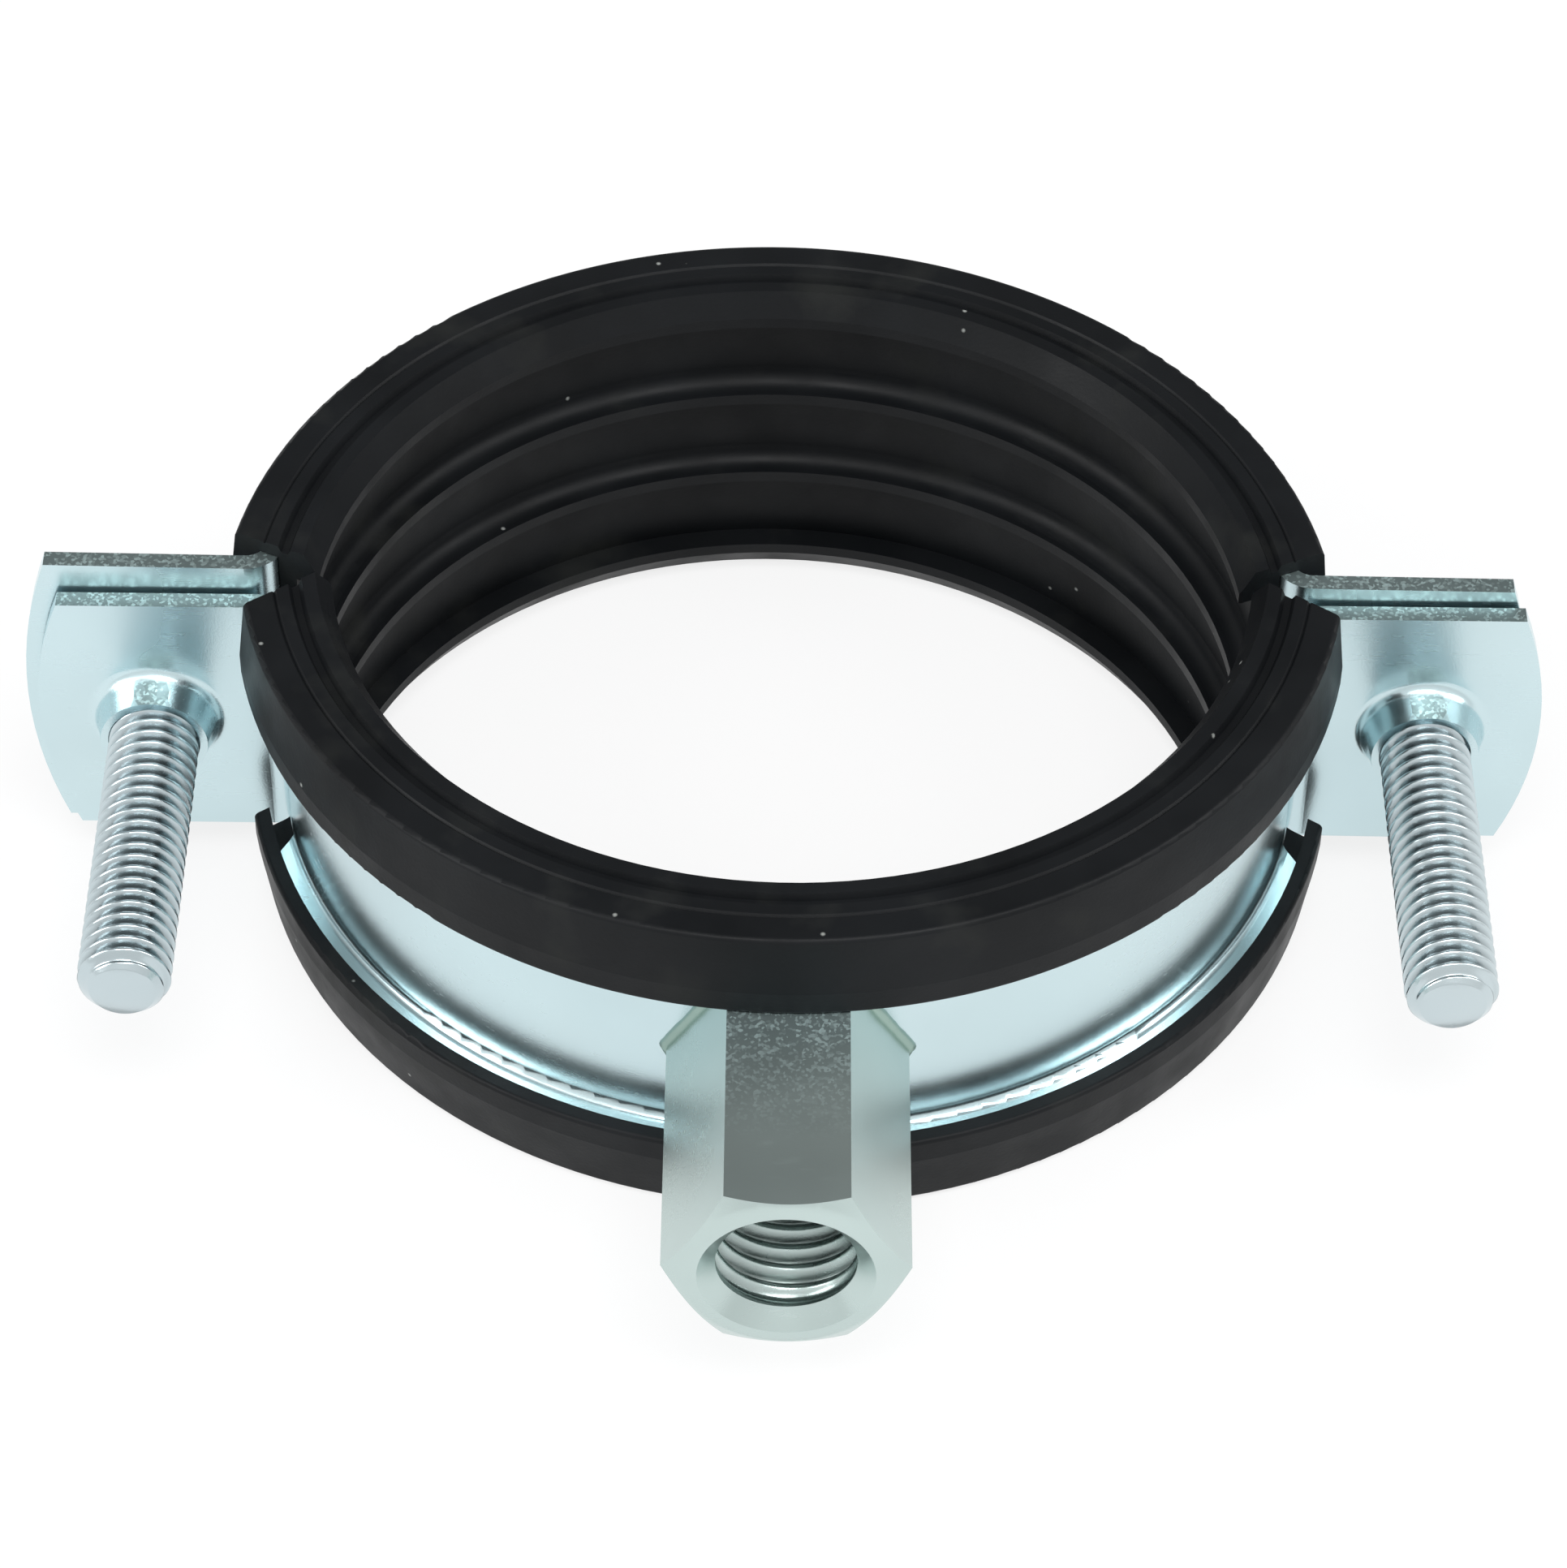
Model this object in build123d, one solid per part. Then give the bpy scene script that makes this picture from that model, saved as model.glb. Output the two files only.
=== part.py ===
from build123d import *
import os
from math import cos, radians, sqrt, tan

# Two-piece pipe clamp with a rubber liner, a connection nut and two closing screws.
# The pipe runs along Z. The halves part at the XZ plane: the front half, with the
# connection nut, lies at -Y and the rear half at +Y. The origin is the middle of the
# closed bore. All sizes are millimetres.

# ---- bore and rubber liner ----
PIPE_SEAT_R = 29.8          # radius over the crests of the liner
HALF_SET = 3.5              # each arc's centre lies this far past the split plane
CREST_HEIGHT = 1.6          # crests above the floor of the channels
LINER_WEB = 1.0             # rubber between channel floor and band
LINER_HALF_WIDTH = 12.5     # from mid width to the rim's flat top
RIB_WIDTH = 0.85
RIB_Z = 3.6                 # the two ribs sit this far above and below mid width
RIB_ROOT_R = 1.2
RIM_CREST_WIDTH = 1.8       # bearing crest beside each rim
RIM_BEVEL_DROP = 0.6        # the crest starts this far below the rim's top
RIM_BEVEL_RUN = 1.0
RIM_WIDTH = 5.8             # radial width of the rim over the crest
RIM_GROOVE_IN = 1.9         # groove in the rim's top, measured out from the crest
RIM_GROOVE_WIDTH = 0.9
RIM_GROOVE_DEPTH = 0.45
RIM_LINE_IN = 3.6           # fine line in the rim's top
RIM_LINE_WIDTH = 0.3
RIM_CORNER_R = 0.35
LIP_THICKNESS = 1.05        # lip outside the turned edge of the band
LIP_REACH = 0.5             # lip past the turned edge, towards mid width
LIP_EDGE_R = 0.3
LINER_PLAY = 0.05           # liner on band
LINER_END_PLAY = 0.15       # each liner end to the split plane
LINER_CUT_RUN = 5.8         # the liner ends slope over this much of the rim
FRONT_CUT_DROP = 4.0
REAR_CUT_DROP = 2.6

# ---- steel bands ----
BAND_T = 1.25
FRONT_BAND_WIDTH = 20.0     # the flat ears of the front half
REAR_BAND_WIDTH = 23.0      # the flat ears of the rear half
EDGE_HALF_WIDTH = 8.25      # to the outside of the turned edges
EDGE_HEIGHT = 1.35          # turned edges above the band's outer face
EDGE_BEND_R = 0.6           # inside the bend of a turned edge
EDGE_START = 5.0            # the turned edges start this far from the split plane
EDGE_RUN_OUT = 2.5
EAR_BEND_R = 1.25           # inside the bend between arc and ear
EAR_TIP_X = 49.2            # outermost point of the ears
EAR_TIP_BULGE = 1.9         # how far the rounded ear ends stand out
EAR_GAP = 0.3               # between the closed ears

# ---- where the rear half sits in the play of its holes ----
REAR_SHIFT_X = -0.9
REAR_SHIFT_Z = 0.1
REAR_ROLL = 0.6             # degrees about Y

# ---- closing screws, M6 ----
SCREW_X = 41.5
SCREW_R = 2.95
THREAD_PLAY = 0.05          # screw in the collar
SCREW_LENGTH = 27.0         # under the head
SCREW_TIP_R = 2.05
HEAD_R = 6.0
HEAD_HEIGHT = 4.0
HEAD_CROWN = 0.9
SLOT_WIDTH = 1.6
SLOT_DEPTH = 2.2
CROSS_LENGTH = 6.4
REAR_HOLE_PLAY = 1.3        # screw in the rear ear's hole

# ---- drawn collars on the front ears ----
COLLAR_HEIGHT = 2.4
COLLAR_WALL = 0.5           # at the mouth
COLLAR_FLARE = 0.45         # more wall at the root
COLLAR_ROOT_R = 0.8
COLLAR_ENTRY_R = 0.6

# ---- connection nut, M10 in front and M8 behind ----
NUT_ACROSS_FLATS = 13.0
NUT_END_Y = -47.6
M10_WALL_R = 4.25
M10_DEPTH = 10.0
M8_WALL_R = 3.4
M8_END_WALL = 0.6           # left between the M8 thread and the band
NUT_FACE_R = 6.15           # flat face in front, inside the chamfer
NUT_CHAMFER_ANGLE = 30.0
MOUTH_R = 5.35
SEAT_LAND_R = 6.6           # rounded back end of the nut

# ---- worked out from the sizes above ----
FLOOR_R = PIPE_SEAT_R + CREST_HEIGHT
BAND_IN_R = FLOOR_R + LINER_WEB + LINER_PLAY
BAND_OUT_R = BAND_IN_R + BAND_T
EDGE_R = BAND_OUT_R + EDGE_HEIGHT
EDGE_IN_Z = EDGE_HALF_WIDTH - BAND_T
RIM_R = PIPE_SEAT_R + RIM_WIDTH
LIP_R = EDGE_R + LINER_PLAY + LIP_THICKNESS
LIP_Z = EDGE_IN_Z - LIP_REACH
EAR_BACK_Y = EAR_GAP / 2
EAR_FACE_Y = EAR_BACK_Y + BAND_T
COLLAR_HOLE_R = SCREW_R + THREAD_PLAY
REAR_HOLE_R = SCREW_R + REAR_HOLE_PLAY
NUT_SEAT_Y = HALF_SET - BAND_OUT_R
REACH = 2 * EAR_TIP_X       # larger than the part, for cutting blocks


def prism_z(points, half_height):
    """Upright prism on a plan outline in X and Y."""
    return extrude(make_face(Polyline(*points, close=True)), half_height, both=True)


def prism_x(points, half_width):
    """Prism along X on an outline in Y and Z."""
    outline = Plane.YZ * make_face(Polyline(*points, close=True))
    return extrude(outline, half_width, both=True)


def round_corners(shape, spots, radius):
    """Round the corners of a flat outline that lie nearest the given spots."""
    corners = []
    for spot in spots:
        corners.append(shape.vertices().sort_by_distance(spot)[0])
    return fillet(corners, radius)


def mirrored(points):
    """An upper outline from mid width up, closed by its mirror image below."""
    lower = [(r, -z) for r, z in reversed(points)]
    return points + lower


def ring(outline):
    """Turn a section, radius across and Z up, round the axis of a front arc."""
    section = Plane.XZ * outline
    return Pos(0, HALF_SET, 0) * revolve(section, Axis.Z, 360)


def liner_section():
    """Extruded liner: channels and ribs inside, lips round the turned edges."""
    rim_top = LINER_HALF_WIDTH
    crest_top = rim_top - RIM_BEVEL_DROP - RIM_BEVEL_RUN
    crest_low = rim_top - RIM_BEVEL_DROP - RIM_CREST_WIDTH
    groove = PIPE_SEAT_R + RIM_GROOVE_IN
    line = PIPE_SEAT_R + RIM_LINE_IN
    slot_r = EDGE_R + LINER_PLAY
    slot_z = EDGE_HALF_WIDTH + LINER_PLAY
    back_r = BAND_IN_R - LINER_PLAY
    rib_low = RIB_Z - RIB_WIDTH / 2
    rib_top = RIB_Z + RIB_WIDTH / 2
    inside = [
        (FLOOR_R, rib_low),
        (PIPE_SEAT_R, rib_low),
        (PIPE_SEAT_R, rib_top),
        (FLOOR_R, rib_top),
        (FLOOR_R, crest_low),
        (PIPE_SEAT_R, crest_low),
        (PIPE_SEAT_R, crest_top),
        (PIPE_SEAT_R + RIM_BEVEL_RUN, rim_top),
    ]
    top = [
        (groove, rim_top),
        (groove + RIM_GROOVE_DEPTH / 2, rim_top - RIM_GROOVE_DEPTH),
        (groove + RIM_GROOVE_WIDTH - RIM_GROOVE_DEPTH / 2, rim_top - RIM_GROOVE_DEPTH),
        (groove + RIM_GROOVE_WIDTH, rim_top),
        (line, rim_top),
        (line + RIM_LINE_WIDTH / 2, rim_top - RIM_LINE_WIDTH / 2),
        (line + RIM_LINE_WIDTH, rim_top),
        (RIM_R, rim_top),
    ]
    lip = [
        (LIP_R, slot_z),
        (LIP_R, LIP_Z),
        (slot_r, LIP_Z),
        (slot_r, slot_z),
        (back_r, slot_z),
    ]
    upper = inside + top + lip
    section = make_face(Polyline(*mirrored(upper), close=True))
    for side in (1, -1):
        roots = [(FLOOR_R, side * rib_low), (FLOOR_R, side * rib_top)]
        section = round_corners(section, roots, RIB_ROOT_R)
        section = round_corners(section, [(LIP_R, side * LIP_Z)], LIP_EDGE_R)
        section = round_corners(section, [(RIM_R, side * rim_top)], RIM_CORNER_R)
        bend = EDGE_BEND_R + BAND_T + LINER_PLAY
        section = round_corners(section, [(back_r, side * slot_z)], bend)
    return section


def liner(cut_drop, band_width):
    """One liner, in the place of the front half, with its ends cut on a slope."""
    foot = -LINER_END_PLAY
    slope = cut_drop / LINER_CUT_RUN
    start = PIPE_SEAT_R
    out_y = foot - slope * (REACH - start)
    keep = prism_z(
        [
            (-REACH, out_y),
            (-start, foot),
            (start, foot),
            (REACH, out_y),
            (REACH, -3 * REACH),
            (-REACH, -3 * REACH),
        ],
        LINER_HALF_WIDTH + 1,
    )
    return (ring(liner_section()) & keep) - strip(band_width, LINER_PLAY)


def strip(width, play=0.0):
    """Flat strip bent into ear, arc and ear, narrowing where its edges turn up."""
    back = -EAR_BACK_Y + play
    face = -EAR_FACE_Y - play
    inner = BAND_IN_R - play
    outer = BAND_OUT_R + play
    arc = Pos(0, HALF_SET) * (Circle(outer) - Circle(inner))
    arc = arc & Pos(0, back - REACH) * Rectangle(2 * REACH, 2 * REACH)
    half_chord_in = sqrt(inner**2 - (HALF_SET - back) ** 2)
    half_chord_out = sqrt(outer**2 - (HALF_SET - face) ** 2)
    ear_in = (half_chord_in + half_chord_out) / 2
    plan = arc
    for side in (1, -1):
        middle = side * (ear_in + REACH) / 2
        ear = Pos(middle, (back + face) / 2) * Rectangle(REACH - ear_in, back - face)
        plan = plan + ear
    spots_back = [(half_chord_in, back), (-half_chord_in, back)]
    spots_face = [(half_chord_out, face), (-half_chord_out, face)]
    plan = round_corners(plan, spots_back, EAR_BEND_R + BAND_T)
    plan = round_corners(plan, spots_face, EAR_BEND_R)
    half = width / 2 + play
    narrow = EDGE_IN_Z
    start = -EDGE_START
    end = start - EDGE_RUN_OUT
    blank = prism_x(
        [
            (REACH, half),
            (start, half),
            (end, narrow),
            (-REACH, narrow),
            (-REACH, -narrow),
            (end, -narrow),
            (start, -half),
            (REACH, -half),
        ],
        2 * REACH,
    )
    return extrude(plan, half, both=True) & blank


def ear_ends(width):
    """Outline of a half seen along Y, with rounded ear ends."""
    corner = EAR_TIP_X - EAR_TIP_BULGE
    half = width / 2
    top = Line((-corner, half), (corner, half))
    right = ThreePointArc((corner, half), (EAR_TIP_X, 0), (corner, -half))
    bottom = Line((corner, -half), (-corner, -half))
    left = ThreePointArc((-corner, -half), (-EAR_TIP_X, 0), (-corner, half))
    outline = Plane.XZ * make_face(top + right + bottom + left)
    return extrude(outline, REACH, both=True)


def turned_edges():
    """Arc of the band with both edges turned outwards."""
    upper = [
        (BAND_OUT_R, EDGE_IN_Z),
        (EDGE_R, EDGE_IN_Z),
        (EDGE_R, EDGE_HALF_WIDTH),
        (BAND_IN_R, EDGE_HALF_WIDTH),
    ]
    section = make_face(Polyline(*mirrored(upper), close=True))
    for side in (1, -1):
        section = round_corners(section, [(BAND_OUT_R, side * EDGE_IN_Z)], EDGE_BEND_R)
        outside = EDGE_BEND_R + BAND_T
        section = round_corners(section, [(BAND_IN_R, side * EDGE_HALF_WIDTH)], outside)
    slope = EDGE_RUN_OUT / EDGE_HEIGHT
    inner_x = BAND_IN_R
    out_y = -EDGE_START - slope * (REACH - inner_x)
    keep = prism_z(
        [
            (-REACH, out_y),
            (-inner_x, -EDGE_START),
            (inner_x, -EDGE_START),
            (REACH, out_y),
            (REACH, -3 * REACH),
            (-REACH, -3 * REACH),
        ],
        LINER_HALF_WIDTH,
    )
    return ring(section) & keep


def band(width):
    """One bent steel half without its holes, in the place of the front half."""
    return (strip(width) + turned_edges()) & ear_ends(width)


def along_y(x, y, radius, length):
    """Cylinder from y towards -Y."""
    return Pos(x, y, 0) * Rot(90, 0, 0) * Cylinder(
        radius, length, align=(Align.CENTER, Align.CENTER, Align.MIN)
    )


def turned_y(points, x):
    """Solid of revolution about an axis along Y at x: points are radius and Y."""
    outline = make_face(Polyline(*points, close=True))
    return Pos(x, 0, 0) * revolve(outline, Axis.Y, 360)


def collar(x):
    """Collar drawn out of the ear, flared at its root, with a rounded entry."""
    mouth_r = COLLAR_HOLE_R + COLLAR_WALL
    root_r = mouth_r + COLLAR_FLARE
    mouth_y = -EAR_FACE_Y - COLLAR_HEIGHT
    outline = make_face(
        Polyline(
            (COLLAR_HOLE_R, -EAR_BACK_Y),
            (COLLAR_HOLE_R, mouth_y),
            (mouth_r, mouth_y),
            (root_r, -EAR_FACE_Y),
            (root_r + 2 * COLLAR_ROOT_R, -EAR_FACE_Y),
            (root_r + 2 * COLLAR_ROOT_R, -EAR_BACK_Y),
            close=True,
        )
    )
    outline = round_corners(outline, [(root_r, -EAR_FACE_Y)], COLLAR_ROOT_R)
    outline = round_corners(outline, [(COLLAR_HOLE_R, -EAR_BACK_Y)], COLLAR_ENTRY_R)
    return Pos(x, 0, 0) * revolve(outline, Axis.Y, 360)


def front_band():
    """Front half with a drawn collar in each ear."""
    half = band(FRONT_BAND_WIDTH)
    entry_r = COLLAR_HOLE_R + COLLAR_ENTRY_R
    for x in (SCREW_X, -SCREW_X):
        half = half - along_y(x, 0, entry_r, 2 * EAR_FACE_Y)
        half = half + collar(x)
    return half


def to_rear(shape):
    """Mirror a front piece to the rear and move it in the play of its holes."""
    place = Pos(REAR_SHIFT_X, 0, REAR_SHIFT_Z) * Rot(0, REAR_ROLL, 0)
    return place * mirror(shape, Plane.XZ)


def rear_band():
    """Rear half with a plain clearance hole in each ear."""
    half = band(REAR_BAND_WIDTH)
    for x in (SCREW_X, -SCREW_X):
        half = half - along_y(x, 0, REAR_HOLE_R, 2 * EAR_FACE_Y)
    return to_rear(half)


def connection_nut():
    """Long hexagon nut welded to the band, M10 in its mouth and M8 behind."""
    length = NUT_SEAT_Y - NUT_END_Y + 2 * BAND_T
    circumradius = NUT_ACROSS_FLATS / 2 / cos(radians(30))
    hexagon = RegularPolygon(circumradius, 6)
    body = Pos(0, NUT_END_Y + length, 0) * Rot(90, 0, 0) * extrude(hexagon, length)
    fall = tan(radians(NUT_CHAMFER_ANGLE))
    envelope_r = 2 * circumradius
    cone = turned_y(
        [
            (0, NUT_END_Y),
            (NUT_FACE_R, NUT_END_Y),
            (envelope_r, NUT_END_Y + fall * (envelope_r - NUT_FACE_R)),
            (envelope_r, NUT_SEAT_Y + 3 * BAND_T + fall * (SEAT_LAND_R - envelope_r)),
            (SEAT_LAND_R, NUT_SEAT_Y + 3 * BAND_T),
            (0, NUT_SEAT_Y + 3 * BAND_T),
        ],
        0,
    )
    seat = Pos(0, HALF_SET, 0) * Cylinder(BAND_OUT_R, NUT_ACROSS_FLATS * 2)
    step_y = NUT_END_Y + M10_DEPTH
    floor_y = NUT_SEAT_Y - M8_END_WALL
    hole = turned_y(
        [
            (0, NUT_END_Y),
            (MOUTH_R, NUT_END_Y),
            (M10_WALL_R, NUT_END_Y + MOUTH_R - M10_WALL_R),
            (M10_WALL_R, step_y),
            (M8_WALL_R, step_y + M10_WALL_R - M8_WALL_R),
            (M8_WALL_R, floor_y),
            (0, floor_y),
        ],
        0,
    )
    return (body & cone) - seat - hole


def closing_screw(x):
    """Pan head screw with slot and cross, its point towards -Y."""
    seat_y = EAR_FACE_Y
    tip_y = seat_y - SCREW_LENGTH
    shank = turned_y(
        [
            (0, seat_y),
            (SCREW_R, seat_y),
            (SCREW_R, tip_y + SCREW_R - SCREW_TIP_R),
            (SCREW_TIP_R, tip_y),
            (0, tip_y),
        ],
        x,
    )
    head = Pos(x, seat_y, 0) * Rot(-90, 0, 0) * Cylinder(
        HEAD_R, HEAD_HEIGHT, align=(Align.CENTER, Align.CENTER, Align.MIN)
    )
    head = fillet(head.edges().sort_by(Axis.Y)[-1], HEAD_CROWN)
    top_y = seat_y + HEAD_HEIGHT
    slot = Pos(x, top_y, 0) * Box(2 * HEAD_R, 2 * SLOT_DEPTH, SLOT_WIDTH)
    cross = Pos(x, top_y, 0) * Box(SLOT_WIDTH, 2 * SLOT_DEPTH, CROSS_LENGTH)
    return shank + head - slot - cross


def pieces():
    """Every separate piece of the clamp, by name."""
    return {
        "front_band": front_band(),
        "front_liner": liner(FRONT_CUT_DROP, FRONT_BAND_WIDTH),
        "connection_nut": connection_nut(),
        "rear_band": rear_band(),
        "rear_liner": to_rear(liner(REAR_CUT_DROP, REAR_BAND_WIDTH)),
        "left_screw": closing_screw(-SCREW_X),
        "right_screw": closing_screw(SCREW_X),
    }


os.makedirs("parts", exist_ok=True)
for name, piece in pieces().items():
    export_step(piece, "parts/" + name + ".step")
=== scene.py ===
from math import cos, pi, radians, sin

import bmesh
import bpy
from bpy.props import FloatProperty, FloatVectorProperty, IntProperty, PointerProperty
from mathutils import Matrix, Vector


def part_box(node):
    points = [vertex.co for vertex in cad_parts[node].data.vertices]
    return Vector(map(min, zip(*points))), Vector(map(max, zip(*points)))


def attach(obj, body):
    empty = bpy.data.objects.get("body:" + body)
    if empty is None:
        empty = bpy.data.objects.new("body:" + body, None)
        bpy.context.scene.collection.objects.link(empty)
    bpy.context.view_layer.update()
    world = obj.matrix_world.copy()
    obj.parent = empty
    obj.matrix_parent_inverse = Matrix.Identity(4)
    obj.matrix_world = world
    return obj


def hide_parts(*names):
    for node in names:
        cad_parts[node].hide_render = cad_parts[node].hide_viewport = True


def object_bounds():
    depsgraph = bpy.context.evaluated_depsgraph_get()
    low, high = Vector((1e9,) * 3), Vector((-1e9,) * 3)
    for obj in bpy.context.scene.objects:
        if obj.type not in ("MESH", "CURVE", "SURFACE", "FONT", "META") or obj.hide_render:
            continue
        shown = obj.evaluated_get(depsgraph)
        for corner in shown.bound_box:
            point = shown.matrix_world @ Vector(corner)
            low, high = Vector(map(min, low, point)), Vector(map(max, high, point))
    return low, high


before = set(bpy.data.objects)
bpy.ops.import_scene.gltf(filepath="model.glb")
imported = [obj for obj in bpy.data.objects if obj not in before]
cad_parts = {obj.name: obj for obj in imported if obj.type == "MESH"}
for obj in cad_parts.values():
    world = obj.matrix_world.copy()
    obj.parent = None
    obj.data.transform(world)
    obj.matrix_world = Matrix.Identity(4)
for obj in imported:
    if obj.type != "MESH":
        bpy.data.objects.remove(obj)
CAD_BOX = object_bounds()

bl_info = {
    "name": "Pipe clamp dresser",
    "version": (1, 0, 0),
    "blender": (4, 5, 0),
    "location": "View3D > Sidebar > Pipe clamp",
    "description": "Threads, zinc plate, rubber and studio for a two-piece pipe clamp",
    "category": "Object",
}

MM = 0.001
IMAGE_WIDTH = 1931.0
SENSOR_MM = 36.0
SCREW_NODES = ("left_screw", "right_screw")
BAND_NODES = ("front_band", "rear_band")
LINER_NODES = ("front_liner", "rear_liner")
SCREW_SIDE = 41.5 * MM
SCREW_POINT_END = -24.5 * MM
SCREW_SEAT = 1.0 * MM
NUT_HALF_FLATS = 6.5 * MM
BAND_RADIUS = 33.7 * MM
BAND_CENTRE = 3.5 * MM
SEAM_DISTANCE = 0.002 * MM    # points this near are one point
MERGE_DISTANCE = 0.0005 * MM  # the same for copies of solids
CREASE = radians(30.0)        # sharper edges stay crisp
FLAT_SHARE = 0.14             # flat share of a thread's crest and of its root
SHANK_OVERLAP = 0.4 * MM      # how far the threaded shank reaches into the head
WALL_TOLERANCE = 0.06 * MM    # flat facets of a bore lie this near its radius
SEAT_TOLERANCE = 0.01 * MM
WELD_RADIUS = 0.45 * MM
WELD_RIPPLE = 0.5
WELD_SEED = 3.0
WELD_AROUND = 180
WELD_SIDES = 12
FLOOR_RADIUS = 6.0
FLOOR_SEGMENTS = 96
RING_GAP = 0.02 * MM     # height of the ring that joins a thread to its wall
HEAD_HEIGHT = 4.0 * MM
MOUTH_THREAD = (-46.5 * MM, -37.6 * MM)     # M10 wall of the nut, from mouth to step
BACK_THREAD = (-36.75 * MM, -30.8 * MM)     # M8 wall, from step to floor


# ---- settings that a user would change ----
class ThreadSettings(bpy.types.PropertyGroup):
    """Sizes of the three threads."""

    screw_pitch: FloatProperty(
        name="Screw pitch", description="Pitch of the closing screws' M6 thread",
        default=1.0 * MM, unit="LENGTH")
    screw_major: FloatProperty(
        name="Screw crest radius", description="Outer radius of the M6 thread",
        default=2.95 * MM, unit="LENGTH")
    screw_minor: FloatProperty(
        name="Screw root radius", description="Radius at the root of the M6 thread",
        default=2.34 * MM, unit="LENGTH")
    tip_radius: FloatProperty(
        name="Screw point radius", description="Flat point of a closing screw",
        default=2.05 * MM, unit="LENGTH")
    mouth_pitch: FloatProperty(
        name="Mouth pitch", description="Pitch of the connection nut's M10 thread",
        default=1.5 * MM, unit="LENGTH")
    mouth_major: FloatProperty(
        name="Mouth groove radius", description="Radius at the root of the M10 thread",
        default=5.0 * MM, unit="LENGTH")
    mouth_minor: FloatProperty(
        name="Mouth bore radius", description="Bore of the M10 thread",
        default=4.25 * MM, unit="LENGTH")
    back_pitch: FloatProperty(
        name="Back pitch", description="Pitch of the connection nut's M8 thread",
        default=1.25 * MM, unit="LENGTH")
    back_major: FloatProperty(
        name="Back groove radius", description="Radius at the root of the M8 thread",
        default=4.0 * MM, unit="LENGTH")
    back_minor: FloatProperty(
        name="Back bore radius", description="Bore of the M8 thread",
        default=3.4 * MM, unit="LENGTH")
    rows_per_turn: IntProperty(
        name="Rows per turn", description="Mesh rows along one pitch", default=14, min=6)
    facets: IntProperty(
        name="Facets", description="Facets round each thread", default=72, min=24)


class FinishSettings(bpy.types.PropertyGroup):
    """Colours and strengths of the finishes."""

    plate: FloatVectorProperty(
        name="Zinc plate", description="Blue passivated zinc on the bands",
        subtype="COLOR", size=3, default=(0.63, 0.785, 0.82))
    nut_plate: FloatVectorProperty(
        name="Nut plate", description="Zinc on the turned hexagon nut",
        subtype="COLOR", size=3, default=(0.58, 0.69, 0.67))
    screw_plate: FloatVectorProperty(
        name="Screw plate", description="Zinc on the rolled threads",
        subtype="COLOR", size=3, default=(0.58, 0.67, 0.70))
    sheared: FloatVectorProperty(
        name="Sheared edge", description="Duller zinc on cut edges",
        subtype="COLOR", size=3, default=(0.34, 0.43, 0.43))
    weld: FloatVectorProperty(
        name="Weld", description="Plated weld bead under the nut",
        subtype="COLOR", size=3, default=(0.36, 0.50, 0.45))
    rubber: FloatVectorProperty(
        name="Rubber", description="Matt black liner",
        subtype="COLOR", size=3, default=(0.0035, 0.0042, 0.0050))
    dust: FloatVectorProperty(
        name="Dust", description="Pale specks on the rubber",
        subtype="COLOR", size=3, default=(0.42, 0.44, 0.42))
    grain: FloatProperty(
        name="Grain", description="Depth of the fine grain in the plate",
        default=0.012 * MM, unit="LENGTH", precision=6)


class StageSettings(bpy.types.PropertyGroup):
    """Camera and studio."""

    azimuth: FloatProperty(
        name="Azimuth", description="Camera's turn about the pipe axis",
        default=radians(-0.255), subtype="ANGLE")
    elevation: FloatProperty(
        name="Elevation", description="Camera's height angle",
        default=radians(46.0), subtype="ANGLE")
    roll: FloatProperty(
        name="Roll", description="Camera's turn about its own axis",
        default=radians(-0.812), subtype="ANGLE")
    distance: FloatProperty(
        name="Distance", description="Camera to the point it looks at",
        default=340.0 * MM, unit="LENGTH")
    focus_pixels: FloatProperty(
        name="Focal length", description="Focal length in pixels of the whole image",
        default=6266.6, min=1.0)
    target: FloatVectorProperty(
        name="Target", description="Point that the camera looks at",
        subtype="TRANSLATION", size=3, default=(-0.362 * MM, 0.0, -7.207 * MM))
    floor_tone: FloatVectorProperty(
        name="Floor", description="Colour of the floor",
        subtype="COLOR", size=3, default=(0.86, 0.865, 0.87))


# ---- shader helpers ----
def link(tree, a, b):
    tree.links.new(a, b)


def node(tree, kind, **values):
    made = tree.nodes.new(kind)
    for key, value in values.items():
        setattr(made, key, value)
    return made


def calc(tree, operation, *values, clamp=False):
    """A Math node fed by sockets or numbers; returns its output."""
    made = node(tree, "ShaderNodeMath", operation=operation, use_clamp=clamp)
    for socket, value in zip(made.inputs, values):
        if isinstance(value, (int, float)):
            socket.default_value = value
        else:
            link(tree, value, socket)
    return made.outputs[0]


def ramp(tree, value, low, high, out_low=0.0, out_high=1.0):
    """Clamped Map Range node; returns its output."""
    made = node(tree, "ShaderNodeMapRange", clamp=True)
    link(tree, value, made.inputs["Value"])
    made.inputs["From Min"].default_value = low
    made.inputs["From Max"].default_value = high
    made.inputs["To Min"].default_value = out_low
    made.inputs["To Max"].default_value = out_high
    return made.outputs["Result"]


def mix_colour(tree, factor, a, b):
    """Colour Mix node fed by sockets or colours; returns its output."""
    made = node(tree, "ShaderNodeMix", data_type="RGBA")
    for name, value in (("Factor_Float", factor), ("A_Color", a), ("B_Color", b)):
        socket = next(s for s in made.inputs if s.identifier == name)
        if isinstance(value, (int, float)):
            socket.default_value = value
        elif isinstance(value, tuple):
            socket.default_value = value + (1.0,)
        else:
            link(tree, value, socket)
    return next(s for s in made.outputs if s.identifier == "Result_Color")


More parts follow.
